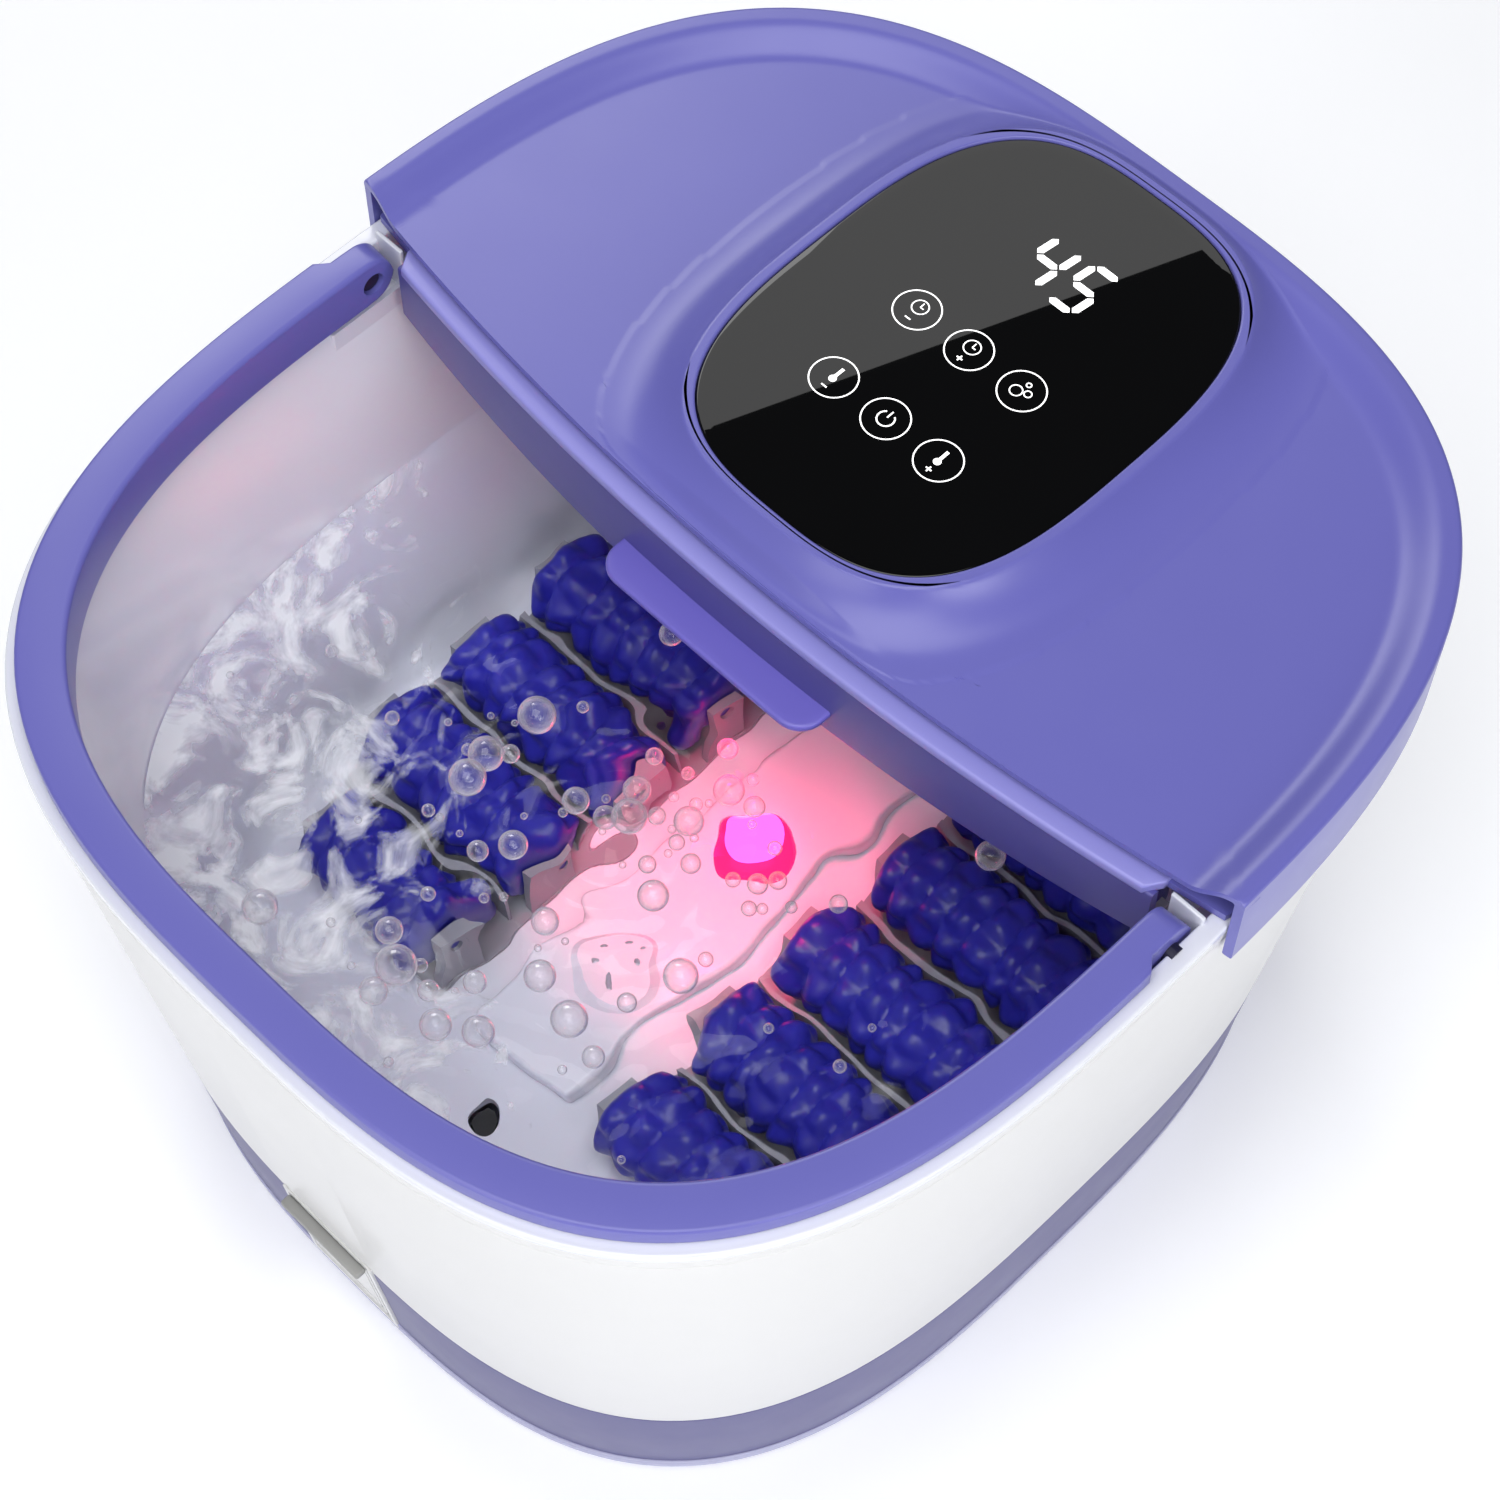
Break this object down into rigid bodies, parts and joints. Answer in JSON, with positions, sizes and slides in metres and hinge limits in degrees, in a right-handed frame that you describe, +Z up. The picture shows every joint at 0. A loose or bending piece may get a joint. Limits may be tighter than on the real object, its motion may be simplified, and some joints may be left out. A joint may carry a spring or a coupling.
{
  "type": "foot spa basin",
  "caption": "Foot spa basin: deep white tub with massage rollers, drop-down carry handle, hinged rear deck with a touch panel and a small drain door at the front.",
  "frame": {"origin": "on the floor, under the middle of the overall bounding box", "axes": "+X to the right of someone who faces the front, +Y towards the rear deck and its hinges, +Z up"},
  "size_m": [0.3622, 0.4066, 0.2652],
  "materials": {
    "white_plastic": "white moulded plastic, semi-gloss",
    "tub_white": "white moulded plastic, glossy",
    "purple_plastic": "violet moulded plastic, satin gloss",
    "band_plastic": "grey-violet moulded plastic",
    "lip_plastic": "pale grey-violet moulded plastic",
    "roller_plastic": "blue moulded plastic",
    "grey_plastic": "grey moulded plastic",
    "black_lens": "black glossy acrylic",
    "red_lens": "red translucent plastic",
    "steel": "plain steel",
    "rubber": "black rubber",
    "circuit_board": "green circuit board laminate",
    "clear_hose": "pale silicone hose",
    "aluminium": "cast aluminium"
  },
  "bodies": {
    "base": {"air_channel_cover": "tub_white", "air_hose": "clear_hose", "air_nozzle": "tub_white", "air_pump": "grey_plastic", "base_plate": "lip_plastic", "base_screw_front_left": "steel", "base_screw_front_right": "steel", "base_screw_rear_left": "steel", "base_screw_rear_right": "steel", "base_skirt": "band_plastic", "board_post_1": "white_plastic", "board_post_2": "white_plastic", "board_post_3": "white_plastic", "board_post_4": "white_plastic", "cord_gland": "rubber", "cradle_left": "grey_plastic", "cradle_right": "grey_plastic", "door_pin": "steel", "drain_bay": "white_plastic", "drain_hose": "rubber", "drain_plug": "grey_plastic", "foot_front_left": "rubber", "foot_front_right": "rubber", "foot_rear_left": "rubber", "foot_rear_right": "rubber", "heater_plate": "aluminium", "hinge_pin_left": "steel", "hinge_pin_right": "steel", "inner_tub": "tub_white", "light_board": "circuit_board", "outer_shell": "white_plastic", "pivot_pin_left": "steel", "pivot_pin_right": "steel", "power_board": "circuit_board", "red_light_lens": "red_lens", "shell_hinge_left": "grey_plastic", "shell_hinge_right": "grey_plastic", "temperature_sensor": "steel"},
    "handle": {"carry_handle": "purple_plastic"},
    "deck": {"deck_cover": "purple_plastic", "deck_frame": "purple_plastic", "control_lens": "black_lens", "touch_board": "circuit_board", "display_module": "black_lens", "deck_hinge_left": "grey_plastic", "deck_hinge_right": "grey_plastic"},
    "drain_door": {"drain_door": "white_plastic", "door_pull": "grey_plastic"},
    "roller_left_1": {"roller_left_1": "roller_plastic"},
    "roller_left_2": {"roller_left_2": "roller_plastic"},
    "roller_left_3": {"roller_left_3": "roller_plastic"},
    "roller_left_4": {"roller_left_4": "roller_plastic"},
    "roller_left_5": {"roller_left_5": "roller_plastic"},
    "roller_right_1": {"roller_right_1": "roller_plastic"},
    "roller_right_2": {"roller_right_2": "roller_plastic"},
    "roller_right_3": {"roller_right_3": "roller_plastic"},
    "roller_right_4": {"roller_right_4": "roller_plastic"},
    "roller_right_5": {"roller_right_5": "roller_plastic"}
  },
  "joints": [
    {"name": "handle_lift", "type": "hinge", "parent": "base", "child": "handle", "pos_m": [0, -0.00277, 0.2405], "axis": [-1, 0, 0], "range_deg": [0, 95]},
    {"name": "deck_lift", "type": "hinge", "parent": "base", "child": "deck", "pos_m": [0, 0.19927, 0.2295], "axis": [-1, 0, 0], "range_deg": [0, 80]},
    {"name": "drain_door_open", "type": "hinge", "parent": "base", "child": "drain_door", "pos_m": [0, -0.17957, 0.014], "axis": [1, 0, 0], "range_deg": [0, 90]},
    {"name": "roller_left_1_spin", "type": "hinge", "parent": "base", "child": "roller_left_1", "pos_m": [0, -0.09377, 0.0725], "axis": [1, 0, 0], "continuous": true},
    {"name": "roller_left_2_spin", "type": "hinge", "parent": "base", "child": "roller_left_2", "pos_m": [0, -0.05177, 0.0725], "axis": [1, 0, 0], "continuous": true},
    {"name": "roller_left_3_spin", "type": "hinge", "parent": "base", "child": "roller_left_3", "pos_m": [0, -0.00977, 0.0725], "axis": [1, 0, 0], "continuous": true},
    {"name": "roller_left_4_spin", "type": "hinge", "parent": "base", "child": "roller_left_4", "pos_m": [0, 0.03223, 0.0725], "axis": [1, 0, 0], "continuous": true},
    {"name": "roller_left_5_spin", "type": "hinge", "parent": "base", "child": "roller_left_5", "pos_m": [0, 0.07423, 0.0725], "axis": [1, 0, 0], "continuous": true},
    {"name": "roller_right_1_spin", "type": "hinge", "parent": "base", "child": "roller_right_1", "pos_m": [0, -0.09377, 0.0725], "axis": [1, 0, 0], "continuous": true},
    {"name": "roller_right_2_spin", "type": "hinge", "parent": "base", "child": "roller_right_2", "pos_m": [0, -0.05177, 0.0725], "axis": [1, 0, 0], "continuous": true},
    {"name": "roller_right_3_spin", "type": "hinge", "parent": "base", "child": "roller_right_3", "pos_m": [0, -0.00977, 0.0725], "axis": [1, 0, 0], "continuous": true},
    {"name": "roller_right_4_spin", "type": "hinge", "parent": "base", "child": "roller_right_4", "pos_m": [0, 0.03223, 0.0725], "axis": [1, 0, 0], "continuous": true},
    {"name": "roller_right_5_spin", "type": "hinge", "parent": "base", "child": "roller_right_5", "pos_m": [0, 0.07423, 0.0725], "axis": [1, 0, 0], "continuous": true}
  ]
}
